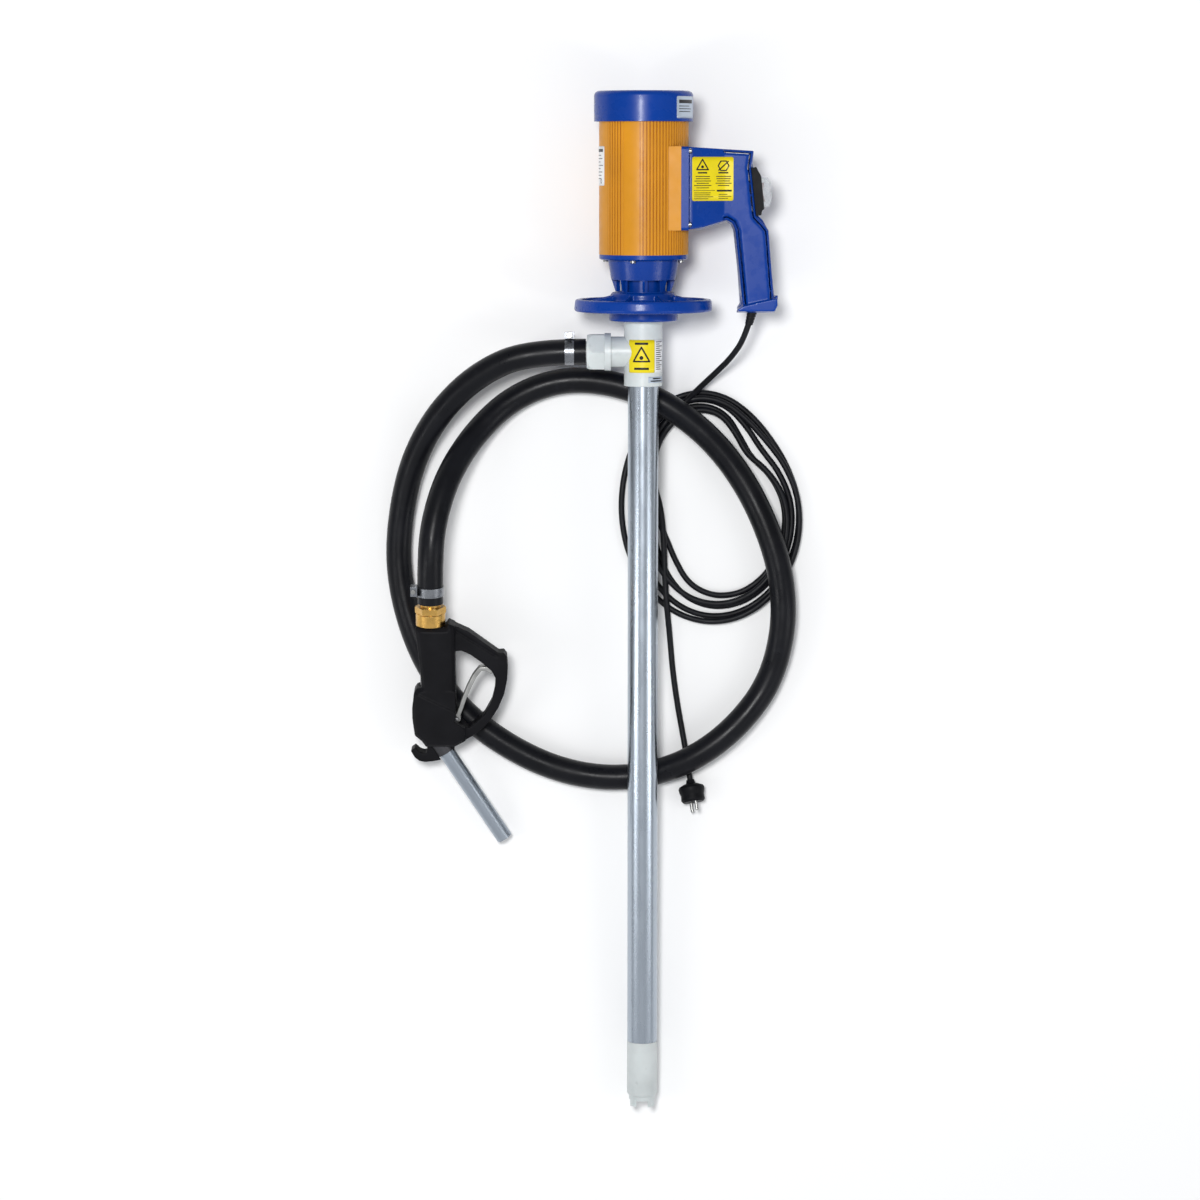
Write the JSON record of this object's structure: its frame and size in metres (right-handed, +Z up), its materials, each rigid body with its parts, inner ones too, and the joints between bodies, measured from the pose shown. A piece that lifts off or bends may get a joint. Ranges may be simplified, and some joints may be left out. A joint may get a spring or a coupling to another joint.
{
  "type": "drum barrel pump",
  "caption": "Electric drum pump lying with its delivery hose, trigger nozzle and mains cable: handled motor, hand wheel, side outlet, long immersion tube and slotted foot.",
  "frame": {"origin": "on the floor, below the middle of the pump with its nozzle (free cords left out)", "axes": "+Z up from the floor the pump lies on, +Y from the pump foot towards the motor, +X towards the handle side"},
  "size_m": [0.5766, 1.3855, 0.1847],
  "materials": {
    "blue_plastic": "glossy moulded blue plastic with a fine grain",
    "orange_paint": "gloss orange enamel on ribbed aluminium",
    "aluminium_tube": "drawn aluminium tube, lightly brushed",
    "grey_polypropylene": "translucent light grey polypropylene",
    "foot_polypropylene": "translucent natural polypropylene",
    "black_rubber": "smooth black hose rubber, satin",
    "cable_rubber": "black cable sheath",
    "black_plastic": "black moulded plastic",
    "nozzle_plastic": "black glass-filled nylon",
    "clear_plastic": "clear dust cover",
    "red_plastic": "rocker",
    "zinc_steel": "zinc plated steel",
    "clamp_steel": "stainless band",
    "lever_metal": "die-cast lever, satin grey",
    "brass": "turned brass",
    "stainless": "ground stainless steel",
    "spout_aluminium": "drawn aluminium spout",
    "silicon_steel": "laminated electrical steel",
    "copper_winding": "varnished copper wire",
    "carbon": "carbon graphite",
    "cast_aluminium": "die-cast aluminium",
    "seal_rubber": "nitrile seal rubber",
    "bush_ptfe": "filled PTFE bearing"
  },
  "bodies": {
    "root": {"outer_tube": "aluminium_tube", "pump_foot": "foot_polypropylene", "foot_o_ring": "seal_rubber", "foot_bush": "bush_ptfe", "inner_tube": "aluminium_tube", "tube_bearings": "bush_ptfe", "pump_head": "grey_polypropylene", "shaft_seal": "seal_rubber", "seal_cover": "grey_polypropylene", "union_nut": "grey_polypropylene", "union_gasket": "seal_rubber", "hose_tail": "grey_polypropylene", "end_bell": "blue_plastic", "end_bell_screws": "zinc_steel", "motor_barrel": "orange_paint", "fan_cap": "blue_plastic", "fan_cap_screws": "zinc_steel", "upper_bearing_bracket": "cast_aluminium", "motor_bearings": "stainless", "stator_core": "silicon_steel", "field_coils": "copper_winding", "carbon_brushes": "carbon", "brush_holders": "brass", "handle_frame": "blue_plastic", "handle_shell": "blue_plastic", "handle_back_cover": "blue_plastic", "handle_screws": "zinc_steel", "switch_frame": "black_plastic", "switch_cover": "clear_plastic", "cable_bush": "cable_rubber", "mains_lead": "cable_rubber", "mains_coil": "cable_rubber", "mains_tail": "cable_rubber", "plug_body": "black_plastic", "plug_pins": "zinc_steel", "nozzle_cover": "nozzle_plastic", "valve_body": "cast_aluminium", "spout": "spout_aluminium", "lever_pin": "stainless", "valve_spring": "stainless", "brass_ring": "brass", "brass_hose_tail": "brass", "outlet_clamp": "clamp_steel", "nozzle_clamp": "clamp_steel", "clamp_screws": "zinc_steel", "discharge_hose": "black_rubber"},
    "armature": {"armature_core": "silicon_steel", "armature_windings": "copper_winding", "commutator": "copper_winding", "motor_shaft": "stainless", "cooling_fan": "black_plastic"},
    "pump_shaft": {"drive_shaft": "stainless", "impeller": "grey_polypropylene"},
    "wheel_nut": {"thrust_ring": "bush_ptfe"},
    "wheel": {"hand_wheel": "blue_plastic"},
    "lever": {"nozzle_lever": "lever_metal"},
    "valve": {"valve_stem": "brass"},
    "rocker": {"switch_rocker": "red_plastic"}
  },
  "joints": [
    {"name": "armature_spin", "type": "hinge", "parent": "root", "child": "armature", "pos_m": [0.068, 0.55501, 0.1009], "axis": [0, 0.9984, 0.0566], "continuous": true},
    {"name": "shaft_spin", "type": "hinge", "parent": "root", "child": "pump_shaft", "pos_m": [0.068, -0.1289, 0.06215], "axis": [0, 0.9984, 0.0566], "continuous": true},
    {"name": "wheel_travel", "type": "slide", "parent": "root", "child": "wheel_nut", "axis": [0, 0.9984, 0.0566], "range_m": [-0.0105, 0]},
    {"name": "wheel_turn", "type": "hinge", "parent": "wheel_nut", "child": "wheel", "pos_m": [0.068, 0.40525, 0.09241], "axis": [0, 0.9984, 0.0566], "range_deg": [0, 1080]},
    {"name": "lever_pull", "type": "hinge", "parent": "root", "child": "lever", "pos_m": [-0.1848, -0.14914, 0.05576], "axis": [0, -0.2079, 0.9781], "range_deg": [0, 15], "stiffness_Nm_per_rad": 1},
    {"name": "valve_lift", "type": "slide", "parent": "root", "child": "valve", "axis": [0, 0.9781, 0.2079], "range_m": [0, 0.005], "deforming": ["valve_spring"]},
    {"name": "switch_rock", "type": "hinge", "parent": "root", "child": "rocker", "pos_m": [0.22445, 0.55939, 0.10115], "axis": [0, 0.0566, -0.9984], "range_deg": [0, 8]}
  ],
  "couplings": [
    {"joint": "shaft_spin", "follows": "armature_spin", "ratio": 1},
    {"joint": "wheel_travel", "follows": "wheel_turn", "m_per_rad": -0.00055704},
    {"joint": "valve_lift", "follows": "lever_pull", "m_per_rad": 0.019}
  ]
}
